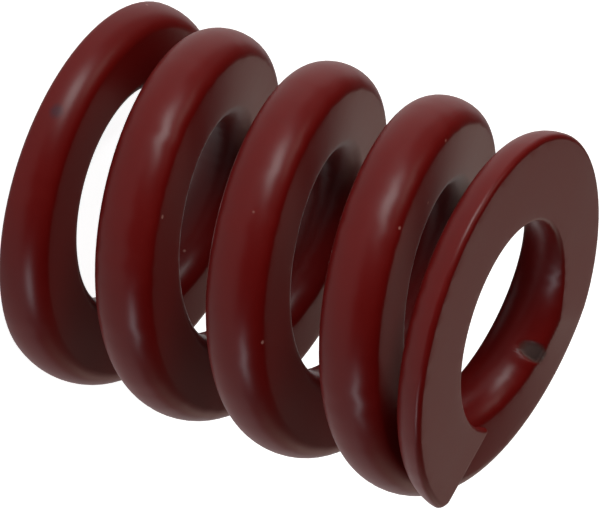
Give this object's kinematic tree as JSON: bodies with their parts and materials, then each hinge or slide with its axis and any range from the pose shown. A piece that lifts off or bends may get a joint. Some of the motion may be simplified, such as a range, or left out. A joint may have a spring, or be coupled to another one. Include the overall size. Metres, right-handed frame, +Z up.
{
  "type": "die spring",
  "caption": "Compression spring of flat-sided wire, right-handed, with closed and ground ends and painted dark red all over.",
  "frame": {"origin": "on the spring's axis, at its lower ground face", "axes": "+Z up the spring's axis; the wire's upper tip lies towards +X"},
  "size_m": [0.0318, 0.0315, 0.0381],
  "materials": {
    "painted_wire": "satin dark red enamel"
  },
  "bodies": {
    "root": {"die_spring": "painted_wire"}
  },
  "joints": []
}
